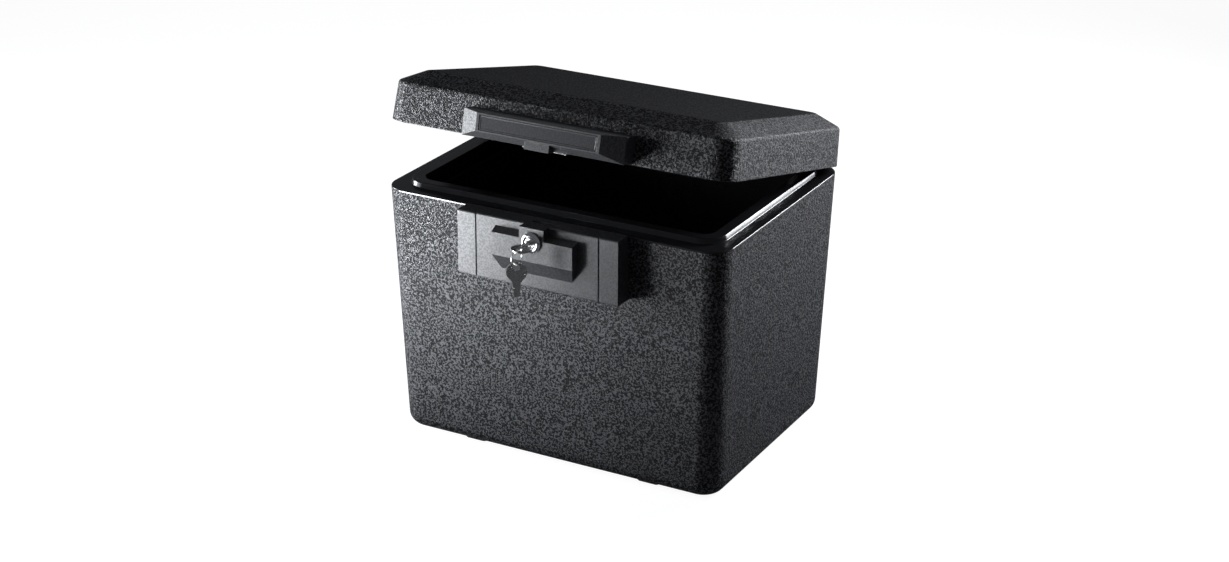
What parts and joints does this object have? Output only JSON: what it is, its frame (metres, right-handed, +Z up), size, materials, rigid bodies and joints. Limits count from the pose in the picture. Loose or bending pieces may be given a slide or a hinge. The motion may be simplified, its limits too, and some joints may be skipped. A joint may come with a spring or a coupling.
{
  "type": "fireproof document box",
  "caption": "Insulated chest for hanging files, with a hinged bevelled lid shown ajar, a front lock housing with cam lock and inserted key on a ring with a spare.",
  "frame": {"origin": "centre of the body's footprint on the floor plane, under the middle of the four feet", "axes": "+Z up, front face with the lock towards -Y, hinges at +Y, +X to the right seen from the front"},
  "size_m": [0.3908, 0.3599, 0.3931],
  "materials": {
    "textured_plastic": "matte",
    "smooth_plastic": "gloss",
    "insulation": "matte",
    "foot_rubber": "matte",
    "grey_plastic": "satin",
    "label_plastic": "satin",
    "hinge_plastic": "satin",
    "plated_lock": "polished",
    "key_metal": "satin",
    "zinc_steel": "satin"
  },
  "bodies": {
    "base": {"body_shell": "textured_plastic", "body_insulation": "insulation", "body_liner": "smooth_plastic", "feet": "foot_rubber", "lock_housing": "grey_plastic", "housing_screws": "zinc_steel", "lock_barrel": "plated_lock", "lock_nut": "zinc_steel", "hinge_leaves_body": "hinge_plastic", "hinge_pins": "zinc_steel", "hinge_screws_body": "zinc_steel"},
    "plug": {"lock_plug": "plated_lock", "lock_cam": "zinc_steel", "cam_screw": "zinc_steel"},
    "key": {"key": "key_metal"},
    "ring": {"key_ring": "plated_lock"},
    "spare": {"spare_key": "key_metal"},
    "lid": {"lid_shell": "textured_plastic", "lid_insulation": "insulation", "lid_liner": "smooth_plastic", "lid_handle": "grey_plastic", "label_plate": "label_plastic", "handle_screws": "zinc_steel", "strike_plate": "zinc_steel", "strike_screws": "zinc_steel", "hinge_leaves_lid": "hinge_plastic", "hinge_screws_lid": "zinc_steel"}
  },
  "joints": [
    {"name": "lid_hinge", "type": "hinge", "parent": "base", "child": "lid", "pos_m": [0, 0.1445, 0.2782], "axis": [-1, 0, 0], "range_deg": [-14, 76]},
    {"name": "lock_turn", "type": "hinge", "parent": "base", "child": "plug", "pos_m": [0, -0.17, 0.263], "axis": [0, -1, 0], "range_deg": [0, 90]},
    {"name": "key_withdraw", "type": "slide", "parent": "plug", "child": "key", "axis": [0, -1, 0], "range_m": [0, 0.03]},
    {"name": "ring_swing", "type": "hinge", "parent": "key", "child": "ring", "pos_m": [0, -0.20045, 0.263], "axis": [0.184, 0.9829, 0], "range_deg": [-25, 25]},
    {"name": "spare_key_swing", "type": "hinge", "parent": "ring", "child": "spare", "pos_m": [0, -0.20045, 0.24965], "axis": [0.184, 0.9829, 0], "range_deg": [-25, 25]}
  ]
}
